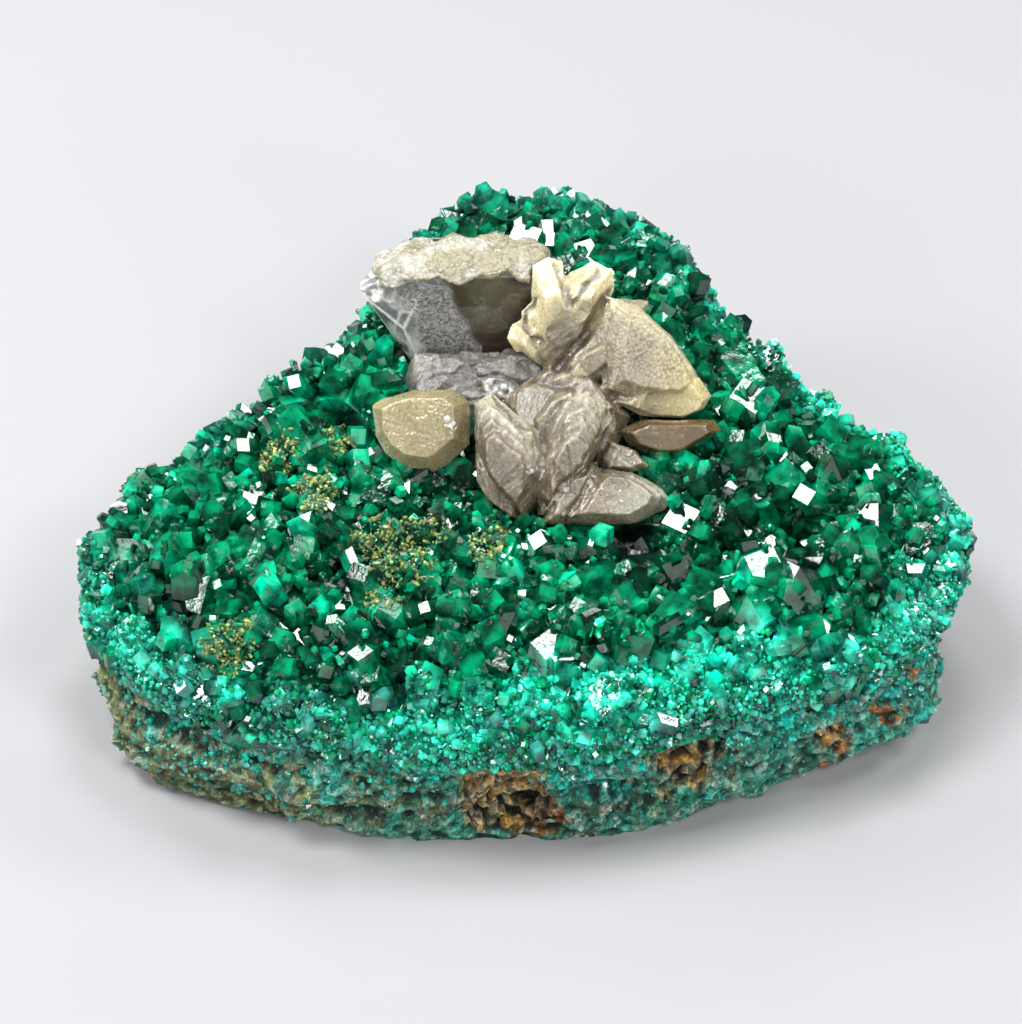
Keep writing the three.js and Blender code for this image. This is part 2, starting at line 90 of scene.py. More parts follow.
def add_softbox(name, place, size, power):
    """A square or oblong light, in metres and watts, that shines on the specimen"""
    data = bpy.data.lights.new(name, "AREA")
    data.shape = "RECTANGLE"
    data.size, data.size_y = size
    data.energy = power
    light = bpy.data.objects.new(name, data)
    bpy.context.scene.collection.objects.link(light)
    light.location = place
    looking_at(light, LIT_PLACE)


def make_studio():
    add_softbox("key", (-0.16, -0.02, 0.42), (0.13, 0.13), 1.7)
    add_softbox("top", (0.03, 0.12, 0.46), (0.12, 0.12), 1.0)
    add_softbox("right", (0.3, 0.1, 0.34), (0.12, 0.14), 1.0)
    add_softbox("left", (-0.36, 0.04, 0.22), (0.12, 0.14), 1.0)
    add_softbox("near", (0.2, -0.26, 0.4), (0.11, 0.11), 0.9)
    add_softbox("front", (-0.05, -0.6, 0.25), (0.7, 0.4), 1.3)
    add_softbox("back", (0.1, 0.45, 0.3), (0.3, 0.1), 0.5)
    add_softbox("left_front", (-0.28, -0.34, 0.26), (0.09, 0.09), 0.5)
    add_softbox("right_front", (0.34, -0.3, 0.2), (0.09, 0.09), 0.5)
    add_softbox("left_back", (-0.26, 0.3, 0.36), (0.09, 0.09), 0.5)
    world = bpy.data.worlds.new("studio")
    bpy.context.scene.world = world
    world.use_nodes = True
    background = world.node_tree.nodes["Background"]
    background.inputs["Color"].default_value = SKY
    background.inputs["Strength"].default_value = SKY_STRENGTH
    bpy.context.scene.view_settings.view_transform = "Standard"


def make_floor():
    mesh = bpy.data.meshes.new("floor")
    corners = [(x * FLOOR_REACH, y * FLOOR_REACH, 0) for x, y in ((-1, -1), (1, -1), (1, 1), (-1, 1))]
    mesh.from_pydata(corners, [], [(0, 1, 2, 3)])
    floor = bpy.data.objects.new("floor", mesh)
    bpy.context.scene.collection.objects.link(floor)
    paper = Material("paper")
    paper.set(**{"Base Color": PAPER, "Roughness": 0.9, "Specular IOR Level": 0.2})
    mesh.materials.append(paper.data)


# Materials

DIOPTASE_IOR, CERUSSITE_IOR = 1.66, 1.8
SPECKLE_DARK = (0.015, 0.035, 0.03, 1)


class Material:
    """A material whose Principled shader is fed by nodes added one at a time"""

    def __init__(self, name):
        self.data = bpy.data.materials.new(name)
        self.data.use_nodes = True
        self.nodes = self.data.node_tree.nodes
        self.shader = self.nodes["Principled BSDF"]

    def fill(self, node, values):
        """Sets a node's inputs, each to a value or to another node's output"""
        for key, value in values.items():
            if isinstance(value, bpy.types.NodeSocket):
                self.data.node_tree.links.new(value, node.inputs[key])
            else:
                node.inputs[key].default_value = value

    def set(self, **values):
        self.fill(self.shader, values)

    def add(self, kind, inputs=None, **settings):
        node = self.nodes.new(kind)
        for key, value in settings.items():
            setattr(node, key, value)
        self.fill(node, inputs or {})
        return node

    def tint(self):
        """The colour stored on the mesh"""
        return self.add("ShaderNodeVertexColor", layer_name="tint").outputs["Color"]

    def grain(self, per_metre, detail=3.0):
        """Fine noise, round 0.5"""
        place = self.add("ShaderNodeTexCoord").outputs["Object"]
        inputs = {"Vector": place, "Scale": per_metre, "Detail": detail}
        return self.add("ShaderNodeTexNoise", inputs).outputs["Fac"]

    def between(self, value, low, high, start=0.3, end=0.7):
        """Turns values from start to end into values from low to high"""
        inputs = {"Value": value, "From Min": start, "From Max": end, "To Min": low, "To Max": high}
        return self.add("ShaderNodeMapRange", inputs).outputs["Result"]

    def spots(self, per_metre):
        """Distance to the nearest of spots scattered in the piece, and a random number of that spot"""
        place = self.add("ShaderNodeTexCoord").outputs["Object"]
        cells = self.add("ShaderNodeTexVoronoi", {"Vector": place, "Scale": per_metre})
        pick = self.add("ShaderNodeSeparateColor", {"Color": cells.outputs["Color"]}).outputs["Red"]
        return cells.outputs["Distance"], pick

    def share(self, name):
        """A number stored on the mesh"""
        return self.add("ShaderNodeAttribute", attribute_name=name).outputs["Fac"]

    def maths(self, operation, a, b):
        return self.add("ShaderNodeMath", {0: a, 1: b}, operation=operation).outputs["Value"]

    def scaled(self, colour, factor):
        inputs = {"Vector": colour, "Scale": factor}
        return self.add("ShaderNodeVectorMath", inputs, operation="SCALE").outputs["Vector"]

    def rough(self, value, low, high):
        self.set(Roughness=self.between(value, low, high))

    def bump(self, height, depth_mm, strength=1.0):
        inputs = {"Height": height, "Distance": depth_mm * MM, "Strength": strength}
        self.set(Normal=self.add("ShaderNodeBump", inputs).outputs["Normal"])


def dioptase_material(name, clearness, shine=0.5):
    """Green with cloudy places, and a surface that is only just uneven"""
    made = Material(name)
    cloudy = made.between(made.grain(620, 5), 0.3, 1.75, 0.36, 0.66)
    made.set(**{
        "Base Color": made.scaled(made.tint(), cloudy), "IOR": DIOPTASE_IOR, "Transmission Weight": clearness,
        "Specular IOR Level": shine,
    })
    uneven = made.grain(1500, 4)
    made.rough(uneven, 0.02, 0.16)
    made.bump(uneven, 0.05, 0.6)
    return made.data


def rock_material():
    made = Material("rock")
    fine = made.grain(2600, 6)
    _, pick = made.spots(1500)
    varied = made.scaled(made.tint(), made.between(pick, 0.35, 1.9, 0.0, 1.0))
    speckle = made.add("ShaderNodeMix", {
        "Factor": made.between(fine, 0.0, 0.6, 0.42, 0.62), "A": varied, "B": SPECKLE_DARK,
    }, data_type="RGBA")
    made.set(**{"Base Color": speckle.outputs[2], "IOR": 1.5, "Specular IOR Level": 0.3})
    made.rough(fine, 0.95, 0.45)
    made.bump(fine, 0.7, 0.9)
    return made.data


def cerussite_material():
    """Cloudy crystal with fine growth lines where the mesh carries them, and stippled where it says so"""
    made = Material("cerussite")
    fine = made.grain(3200, 4)
    lined = made.add("ShaderNodeAttribute", attribute_name="lined").outputs["Vector"]
    lines = made.add("ShaderNodeTexNoise", {"Vector": lined, "Scale": 2.6, "Detail": 5.0}).outputs["Fac"]
    lining = made.maths("MULTIPLY", made.maths("SUBTRACT", lines, 0.5), made.share("lining"))
    spread, _ = made.spots(2900)
    stipple = made.share("stipple")
    dots = made.maths("MULTIPLY", made.maths("SUBTRACT", 0.45, spread), stipple)
    relief = made.maths("ADD", made.maths("ADD", lining, dots), made.maths("MULTIPLY", fine, 0.16))
    colour = made.scaled(made.tint(), made.between(relief, 0.55, 1.4, -0.3, 0.45))
    made.set(**{
        "Base Color": colour, "IOR": CERUSSITE_IOR, "Transmission Weight": 0.4, "Subsurface Weight": 0.8,
        "Subsurface Radius": (1.0, 0.8, 0.5), "Subsurface Scale": 1.8 * MM,
    })
    dull = made.maths("MULTIPLY", stipple, 0.35)
    made.set(Roughness=made.maths("ADD", made.between(fine, 0.1, 0.3), dull))
    made.bump(relief, 0.16, 0.8)
    return made.data


def smoky_material():
    """Clear and smoky, turning to a dull pitted veil where the mesh is marked as frosted"""
    made = Material("smoky_crystal")
    frost = made.share("frost")
    _, pick = made.spots(4000)
    pits = made.maths("MULTIPLY", made.between(pick, -0.65, 0.65, 0.0, 1.0), made.share("pitted"))
    colour = made.scaled(made.tint(), made.maths("SUBTRACT", 1.0, pits))
    made.set(**{
        "Base Color": colour, "IOR": CERUSSITE_IOR, "Roughness": made.between(frost, 0.05, 0.42, 0.0, 1.0),
        "Transmission Weight": made.between(frost, 0.6, 0.3, 0.0, 1.0),
    })
    made.bump(pits, 0.12, 0.5)
    return made.data


def crust_material():
    made = Material("white_crust")
    spread, pick = made.spots(2200)
    sugar = made.maths("SUBTRACT", made.maths("MULTIPLY", pick, 0.5), spread)
    made.set(**{
        "Base Color": made.scaled(made.tint(), made.between(pick, 0.82, 1.2, 0.0, 1.0)), "IOR": 1.6,
        "Subsurface Weight": 0.4, "Subsurface Radius": (1, 0.9, 0.7), "Subsurface Scale": 0.8 * MM,
    })
    made.rough(pick, 0.25, 0.6)
    made.bump(sugar, 0.25, 0.8)
    return made.data


def moss_material():
    made = Material("moss")
    made.set(**{"Base Color": made.tint(), "IOR": 1.6})
    made.rough(made.grain(1500), 0.3, 0.7)
    return made.data


# Noise

def lattice(cell, seed):
    """A repeatable random number from 0 to 1 for each whole-numbered cell"""
    mixed = cell[..., 0] * 73856093 ^ cell[..., 1] * 19349663 ^ cell[..., 2] * 83492791 ^ seed * 265443
    mixed = (mixed ^ (mixed >> 13)) * 1274126177
    return ((mixed ^ (mixed >> 16)) & 0xFFFF) / 0xFFFF


def noise(points, size, seed=0):
    """Smooth noise from -1 to 1, with lumps about size across"""
    scaled = points / size
    cell = np.floor(scaled).astype(np.int64)
    t = scaled - cell
    t = t * t * (3 - 2 * t)
    total = np.zeros(len(points))
    for corner in itertools.product((0, 1), repeat=3):
        weight = np.prod(np.where(corner, t, 1 - t), axis=1)
        total += weight * lattice(cell + corner, seed)
    return 2 * total - 1


def fractal(points, size, seed=0, octaves=3):
    return sum(noise(points, size / 2 ** k, seed + k) / 2 ** k for k in range(octaves))


def grains_of(points, size, seed=0):
    """Distance to the nearest of spots scattered about size apart, and a random number of that spot"""
    scaled = points / size
    cell = np.floor(scaled).astype(np.int64)
    nearest = np.full(len(points), 9.0)
    pick = np.zeros(len(points))
    for step in itertools.product((-1, 0, 1), repeat=3):
        near = cell + step
        spot = near + np.stack([lattice(near, seed + k) for k in range(3)], axis=1)
        away = np.linalg.norm(scaled - spot, axis=1)
        pick = np.where(away < nearest, lattice(near, seed + 3), pick)
        nearest = np.minimum(nearest, away)
    return nearest, pick


def cellular(points, size, seed=0):
    return grains_of(points, size, seed)[0]


def smooth(value, low, high):
    t = np.clip((value - low) / (high - low), 0, 1)
    return t * t * (3 - 2 * t)


def blend(a, b, share):
    """Mixes two colours, or lists of them, by a share for each point"""
    share = np.asarray(share)[:, None]
    return np.asarray(a) * (1 - share) + np.asarray(b) * share


# Meshes

JOIN_REACH = 0.001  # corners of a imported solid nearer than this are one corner
FINE_FACE = 0.22  # size of the faces of the grey crystal's and the cream crust's skins


def mesh_object(name, points, faces):
    mesh = bpy.data.meshes.new(name)
    mesh.from_pydata((np.asarray(points) * MM).tolist(), [], faces)
    obj = bpy.data.objects.new(name, mesh)
    bpy.context.scene.collection.objects.link(obj)
    return obj


def node_copy(node, name):
    """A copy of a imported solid, with its loose triangles joined at their corners"""
    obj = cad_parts[node].copy()
    obj.data = obj.data.copy()
    obj.data.materials.clear()
    obj.name = name
    bpy.context.scene.collection.objects.link(obj)
    mesh = bmesh.new()
    mesh.from_mesh(obj.data)
    bmesh.ops.remove_doubles(mesh, verts=mesh.verts, dist=JOIN_REACH * MM)
    mesh.to_mesh(obj.data)
    mesh.free()
    obj.data.shade_flat()
    return obj


def points_of(obj):
    flat = np.empty(len(obj.data.vertices) * 3)
    obj.data.vertices.foreach_get("co", flat)
    return flat.reshape(-1, 3) / MM


def move_points(obj, points):
    obj.data.vertices.foreach_set("co", (points * MM).ravel())
    obj.data.update()


def normals_of(obj):
    flat = np.empty(len(obj.data.vertices) * 3)
    obj.data.vertex_normals.foreach_get("vector", flat)
    return flat.reshape(-1, 3)


def triangles_of(obj):
    mesh = obj.data
    mesh.calc_loop_triangles()
    corners = np.empty(len(mesh.loop_triangles) * 3, dtype=np.int64)
    mesh.loop_triangles.foreach_get("vertices", corners)
    return points_of(obj)[corners.reshape(-1, 3)]


def tree_of(triangles):
    """A search tree over triangles, in millimetres"""
    corners = triangles.reshape(-1, 3)
    faces = np.arange(len(corners)).reshape(-1, 3)
    return BVHTree.FromPolygons(corners.tolist(), faces.tolist())


def fused(obj, voxel):
    """Turns a mesh into one skin of even faces, about a voxel in size"""
    modifier = obj.modifiers.new("skin", "REMESH")
    modifier.mode = "VOXEL"
    modifier.voxel_size = voxel * MM
    modifier.use_smooth_shade = True
    graph = bpy.context.evaluated_depsgraph_get()
    skin = bpy.data.meshes.new_from_object(obj.evaluated_get(graph))
    obj.modifiers.clear()
    obj.data = skin


def neighbour_mean(obj, values):
    edges = np.empty(len(obj.data.edges) * 2, dtype=np.int64)
    obj.data.edges.foreach_get("vertices", edges)
    a, b = edges.reshape(-1, 2).T
    count = np.bincount(edges, minlength=len(values))[:, None]
    total = np.zeros_like(values)
    for k in range(values.shape[1]):
        total[:, k] = np.bincount(a, values[b, k], len(values)) + np.bincount(b, values[a, k], len(values))
    return total / np.maximum(count, 1)


def relaxed(obj, rounds):
    """Evens a skin out by moving each point towards its neighbours"""
    points = points_of(obj)
    for _ in range(rounds):
        points = (points + neighbour_mean(obj, points)) / 2
    move_points(obj, points)


def ridges_of(obj, rounds=3):
    """How far each point stands out from its surroundings, in millimetres"""
    points = points_of(obj)
    around = points
    for _ in range(rounds):
        around = neighbour_mean(obj, around)
    return np.einsum("ij,ij->i", points - around, normals_of(obj))


def store_share(obj, name, share):
    layer = obj.data.attributes.new(name, "FLOAT", "POINT")
    layer.data.foreach_set("value", share)


def store_places(obj, name, places):
    layer = obj.data.attributes.new(name, "FLOAT_VECTOR", "POINT")
    layer.data.foreach_set("vector", places.ravel())


def store_tint(obj, colours):
    layer = obj.data.color_attributes.new("tint", "FLOAT_COLOR", "POINT")
    full = np.ones((len(colours), 4))
    full[:, :3] = np.clip(colours, 0, 1)
    layer.data.foreach_set("color", full.ravel())


def dressed(obj, material, slot, *nodes):
    """Gives a piece its material and its place in the part"""
    obj.data.materials.append(material)
    if nodes:
        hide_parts(*nodes)
    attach(obj, BODY)
    return obj


# Places on the specimen

EDGE_STEPS = 72  # directions in which the plate's reach is measured


def drawn(points):
    """u, v and depth of points in the drawing"""
    from_middle = np.asarray(points) - DRAWING_MIDDLE
    return from_middle @ np.stack([RIGHTWARD, UPWARD, VIEWER], axis=1)


def placed(u, v, depth):
    """The point at a place of the drawing"""
    return DRAWING_MIDDLE + u * RIGHTWARD + v * UPWARD + depth * VIEWER


def spot_share(points, spots):
    """1 inside any of the spots u, v, radius of the drawing, falling to 0 round them"""
    place = drawn(points)
    share = np.zeros(len(points))
    for u, v, radius in spots:
        away = np.hypot(place[:, 0] - u, place[:, 1] - v) / radius
        share = np.maximum(share, 1 - smooth(away, 0.7, 1.15))
    return share


def line_share(points, lines, waver=0.25):
    """1 along any line of the drawing, given as its half width and its corners, falling to 0 beside it"""
    place = drawn(points)[:, :2]
    place = place + waver * np.stack([noise(points, 0.9, 24), noise(points, 0.9, 25)], axis=1)
    share = np.zeros(len(points))
    for width, *corners in lines:
        for start, end in itertools.pairwise(np.array(corners, dtype=float)):
            way = end - start
            t = np.clip((place - start) @ way / (way @ way), 0, 1)
            away = np.linalg.norm(place - start - t[:, None] * way, axis=1)
            share = np.maximum(share, 1 - away / width)
    return share


def steps_round(away):
    """The direction of points from the plate's middle, counted in steps"""
    return (np.arctan2(away[:, 1], away[:, 0]) / (2 * math.pi) + 0.5) * EDGE_STEPS


def edge_reaches():
    """How far the crust reaches from the plate's middle in each direction"""
    away = points_of(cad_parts["dioptase_crust"])[:, :2] - DRAWING_MIDDLE[:2]
    step = np.floor(steps_round(away)).astype(int) % EDGE_STEPS
    reach = np.hypot(away[:, 0], away[:, 1])
    return np.array([reach[step == k].max(initial=0) for k in range(EDGE_STEPS)])


EDGE_REACHES = edge_reaches()


def edge_share(points):
    """0 over the plate's middle and 1 at its edge"""
    away = points[:, :2] - DRAWING_MIDDLE[:2]
    closed = np.append(EDGE_REACHES, EDGE_REACHES[0])
    reach = np.interp((steps_round(away) - 0.5) % EDGE_STEPS, np.arange(EDGE_STEPS + 1), closed)
    return np.hypot(away[:, 0], away[:, 1]) / reach


# Crystals

TIP = 0.62  # rise of a dioptase tip for each millimetre of its width
# Painted shade at a crystal's root and painted light at its tip: how dark the root is, and how light the tip
CLEAR_PAINTED_ROOT_TIP, DULL_PAINTED_ROOT_TIP, ROCK_PAINTED_ROOT_TIP = (0.1, 1.6), (0.35, 1.25), (0.5, 1.25)


def unit(vectors):
    return vectors / np.linalg.norm(vectors, axis=-1, keepdims=True)


def prism_crystals(name, roots, axes, widths, heights, depth, tints, rng, sides=6, painted_root_tip=CLEAR_PAINTED_ROOT_TIP):
    """Prisms with a tip that has half as many faces, joined in one mesh, with painted shade at the root and
    painted light at the tip

    Their roots are sunk by the depth, and the widths are from the axis to a corner.
    """
    count = len(roots)
    corners = 2 * sides + 1
    turn = np.arange(sides) * 2 * math.pi / sides
    ring = np.stack([np.cos(turn), np.sin(turn)], axis=1)
    local = np.zeros((count, corners, 3))
    local[:, :sides, :2] = local[:, sides:-1, :2] = ring * widths[:, None, None]
    local[:, :sides, 2] = -depth
    local[:, sides:-1, 2] = heights[:, None]
    local[:, sides:-1:2, 2] -= TIP * widths[:, None]
    local[:, -1, 2] = heights + TIP * widths
    side = unit(np.cross(axes, rng.normal(size=(count, 3))))
    other = np.cross(axes, side)
    turned = (local[:, :, :1] * side[:, None] + local[:, :, 1:2] * other[:, None]
              + local[:, :, 2:] * axes[:, None])
    points = (turned + roots[:, None]).reshape(-1, 3)
    k = np.arange(sides)
    walls = np.stack([k, (k + 1) % sides, sides + (k + 1) % sides, sides + k], axis=1)
    low = np.arange(0, sides, 2)
    tips = np.stack([np.full(len(low), 2 * sides), sides + (low - 1) % sides, sides + low,
                     sides + (low + 1) % sides], axis=1)
    first = corners * np.arange(count)[:, None, None]
    faces = (first + np.concatenate([walls, tips])).reshape(-1, 4).tolist()
    faces += (first[:, 0] + k[::-1]).tolist()
    obj = mesh_object(name, points, faces)
    # Painted shade on the root corners and painted light on the tip corner
    painted_shading = np.ones((count, corners, 1))
    painted_shading[:, :sides], painted_shading[:, -1] = painted_root_tip
    store_tint(obj, (tints[:, None] * painted_shading).reshape(-1, 3))
    return obj


def scattered(triangles, spacing, rng, crowd=4):
    """Points spread over triangles about spacing apart, with their normals"""
    edge_a = triangles[:, 1] - triangles[:, 0]
    edge_b = triangles[:, 2] - triangles[:, 0]
    cross = np.cross(edge_a, edge_b)
    area = np.linalg.norm(cross, axis=1)
    count = int(area.sum() / 2 / spacing ** 2 * crowd)
    pick = rng.choice(len(triangles), count, p=area / area.sum())
    a, b = rng.random((2, count))
    a, b = np.where(a + b > 1, 1 - a, a), np.where(a + b > 1, 1 - b, b)
    points = triangles[pick, 0] + a[:, None] * edge_a[pick] + b[:, None] * edge_b[pick]
    normals = unit(cross[pick])
    cells = np.floor(points / spacing).astype(np.int64)  # one point is kept in each
    first = np.sort(np.unique(cells, axis=0, return_index=True)[1])
    return points[first], normals[first]


# Dioptase

EMERALD_DARK = (0.0, 0.035, 0.015)
EMERALD = (0.0, 0.27, 0.115)
EMERALD_LIGHT = (0.0, 0.56, 0.30)
TURQUOISE = (0.0, 0.72, 0.46)
TURQUOISE_PALE = (0.10, 0.88, 0.66)
DULL_TEAL = (0.05, 0.24, 0.22)
HOLLOW_PAINTED_SHADE = (0.0, 0.01, 0.006)
UNDERSIDE = -0.8  # faces that look further down than this stay bare
SKY_HEIGHT = 60  # above the whole specimen
# Where the rim is at its brightest, and reaches further in: u, v, radius in the drawing
BRIGHT_RIM = [
    (1.4, -18.4, 3.6), (7.6, -18.0, 3.4), (13.0, -17.6, 3.4), (18.6, -16.0, 3.4), (23.6, -15.0, 3.0),
]
# Hollows between the crystals, kept bare and painted black as shade: u, v, radius in the drawing
HOLLOWS = [(-18.2, 9.6, 1.8), (-17.4, -6.2, 1.6), (12.2, -3.6, 3.2), (29.2, -6.2, 2.2), (-9.6, -0.4, 1.4)]


def turquoise_share(points):
    """How far the fine bright rim takes over from the emerald crystals"""
    share = edge_share(points)
    away = points - DRAWING_MIDDLE
    turn = np.degrees(np.arctan2(away[:, 1], away[:, 0]))
    front = 1 - smooth(np.abs(turn + 60), 90, 125)
    right = 1 - smooth(np.abs(turn - 20), 30, 50)
    strength = np.maximum(np.maximum(front, 0.75 * right), 0.3)
    rim = strength * smooth(share + 0.07 * fractal(points, 7, 31), 0.86, 0.98)
    return np.maximum(rim, 0.95 * spot_share(points + 1.2 * noise(points, 2, 32)[:, None], BRIGHT_RIM))


def dioptase_tints(points, rng):
    """Emerald that varies from crystal to crystal, darker at the back, turning to turquoise at the rim"""
    patch = 0.5 + 0.5 * fractal(points, 9, 5)
    pick = rng.random(len(points))
    green = blend(EMERALD_DARK, EMERALD, smooth(pick + 0.5 * patch, 0.25, 1.1))
    green = blend(green, EMERALD_LIGHT, smooth(pick, 0.82, 1.0))
    rim = turquoise_share(points)
    bright = blend(TURQUOISE, TURQUOISE_PALE, 0.5 * rng.random(len(points)))
    patchy = 0.35 + 0.65 * smooth(fractal(points, 6, 36), -0.3, 0.4)
    dull = patchy * (1 - spot_share(points, BRIGHT_RIM))
    bright = blend(bright, DULL_TEAL, 0.8 * dull)
    bright = blend(bright, EMERALD, rng.random(len(points)) < 0.15 + 0.25 * dull)
    green = green * (1 - 0.35 * smooth(points[:, 1], 12, 26))[:, None]
    return blend(green, bright, np.clip(rim * (0.6 + 0.8 * rng.random(len(points))), 0, 1))


class CrystalBed:
    """The crust's surface, on which small crystals grow between the large ones"""

    def __init__(self, coarse, seat_tree):
        faces = triangles_of(coarse)
        facing = unit(np.cross(faces[:, 1] - faces[:, 0], faces[:, 2] - faces[:, 0]))
        self.open_faces = faces[facing[:, 2] > UNDERSIDE]
        self.tree = tree_of(faces)
        self.seat_tree = seat_tree

    def ground(self, points, reach=2.2):
        """The lowest surface round each point, which is the bed between large crystals"""
        lowest = np.full(len(points), 99.0)
        for turn in range(8):
            step = reach * np.array([math.cos(turn * math.pi / 4), math.sin(turn * math.pi / 4)])
            for k, (x, y) in enumerate(points[:, :2] + step):
                hit = self.tree.ray_cast((x, y, SKY_HEIGHT), (0, 0, -1))[0]
                if hit:
                    lowest[k] = min(lowest[k], hit.z)
        return lowest

    def clear_of_cerussite(self, points, gap):
        return np.array([self.seat_tree.find_nearest(p)[3] > gap for p in points.tolist()])

    def low_places(self, points, _, rng):
        """Between the large crystals, and here and there on them"""
        above = points[:, 2] - self.ground(points)
        open_ = spot_share(points, HOLLOWS) < 0.4
        free = self.clear_of_cerussite(points, 0.9)
        low = (above < 1.3 + 0.6 * rng.random(len(points))) | (rng.random(len(points)) < 0.15)
        return low & open_ & free & (edge_share(points) < 0.99)

    def fine_places(self, points, normals, rng):
        """Low down between the large crystals, less on level faces"""
        open_ = (spot_share(points, HOLLOWS) < 0.5) | (rng.random(len(points)) < 0.15)
        steep = (normals[:, 2] < 0.9) | (rng.random(len(points)) < 0.6)
        above = points[:, 2] - self.ground(points, 1.5)
        low = (above < 0.9) | (rng.random(len(points)) < 0.1)
        return low & open_ & steep & self.clear_of_cerussite(points, 0.35)

    def rim_places(self, points, _, rng):
        """On the rim, in patches that thin out inwards"""
        patch = 0.45 * fractal(points, 4, 35)
        return turquoise_share(points) + patch > 0.2 + 0.5 * rng.random(len(points))

    def grow(self, name, spacing, width, stand, lean, seed, wanted, material, painted_root_tip=CLEAR_PAINTED_ROOT_TIP):
        """Crystals where they are wanted, with widths and stands each from low to high"""
        rng = np.random.default_rng(seed)
        points, normals = scattered(self.open_faces, spacing, rng)
        keep = wanted(points, normals, rng)
        points, normals = points[keep], normals[keep]
        rim = turquoise_share(points)
        count = len(points)
        widths = (width[0] + (width[1] - width[0]) * rng.random(count) ** 1.6) * (1 - 0.3 * rim)
        heights = (stand[0] + (stand[1] - stand[0]) * rng.random(count)) * (1 - 0.5 * rim)
        axes = unit(0.55 * normals + (0, 0, 0.5) + lean * rng.normal(size=(count, 3)))
        tints = dioptase_tints(points, rng)
        obj = prism_crystals(name, points, axes, widths, heights, width[1] * 0.9, tints, rng, painted_root_tip=painted_root_tip)
        return dressed(obj, material, "dioptase")


def build_dioptase(material, rim_material, seat_tree):
    """The crust's large crystals, and the smaller ones that cover everything between them"""
    coarse = node_copy("dioptase_crust", "dioptase_large")
    bed = CrystalBed(coarse, seat_tree)
    corners = points_of(coarse)
    # Painted shade on the large crystals low down near the bed, painted light higher up
    light = 0.3 + 0.85 * smooth(corners[:, 2] - bed.ground(corners), 0.2, 3.0)
    tints = dioptase_tints(np.floor(corners / 2.5) * 2.5, np.random.default_rng(11)) * light[:, None]
    # Painted shade: the hollows turn black
    store_tint(coarse, blend(tints, HOLLOW_PAINTED_SHADE, spot_share(corners, HOLLOWS)))
    dressed(coarse, material, "dioptase", "dioptase_crust")
    medium = bed.grow("dioptase_medium", 1.9, (0.7, 1.6), (0.4, 2.0), 0.45, 21, bed.low_places, material)
    small = bed.grow("dioptase_small", 1.0, (0.24, 0.66), (0.3, 1.5), 0.5, 22, bed.fine_places, material)
    rim = (bed.rim_places, rim_material, DULL_PAINTED_ROOT_TIP)
    bed.grow("dioptase_rim_crystals", 1.4, (0.25, 0.8), (0.3, 1.5), 0.7, 24, *rim)
    bed.grow("dioptase_rim_grains", 0.55, (0.1, 0.36), (0.2, 1.3), 0.8, 23, *rim)
    return [coarse, medium, small]


# Rock

# Brown pockets and rust spots: u, v, radius in the drawing
BROWN_POCKETS = [(-1.3, -29.2, 5.0), (17.0, -24.6, 3.9), (32.0, -23.3, 2.2), (29.8, -19.0, 1.4)]
RUST_SPOTS = [(41.6, -15.1, 1.6), (38.2, -20.7, 2.2), (33.0, -25.0, 1.5), (3.0, -31.0, 2.2)]
TEAL = (0.02, 0.22, 0.15)
TEAL_LIGHT = (0.05, 0.36, 0.25)
DEEP_GREEN = (0.025, 0.085, 0.05)
OLIVE = (0.20, 0.19, 0.065)
UPPER_TEAL, UPPER_TEAL_LIGHT, VEIN_TEAL = (0.0, 0.30, 0.24), (0.0, 0.58, 0.46), (0.0, 0.42, 0.34)
SANDY, BROWN, PORE_PAINTED_SHADE = (0.52, 0.29, 0.05), (0.16, 0.08, 0.02), (0.006, 0.005, 0.003)
RUST, RUST_DARK, CREST_PAINTED_HIGHLIGHT = (0.46, 0.19, 0.05), (0.05, 0.02, 0.01), (0.42, 0.50, 0.42)
GRAIN_COLOURS = np.array([
    (0.34, 0.27, 0.16), (0.02, 0.05, 0.03), (0.0, 0.34, 0.27), (0.22, 0.25, 0.10), (0.30, 0.36, 0.33),
])
DRUSE_DARK, DRUSE_LIGHT, DRUSE_PALE = (0.03, 0.16, 0.13), (0.0, 0.50, 0.38), (0.26, 0.36, 0.32)
SPECK_CELL = 0.01
ROCK_FACE = 0.42  # size of the faces of the rock's skin


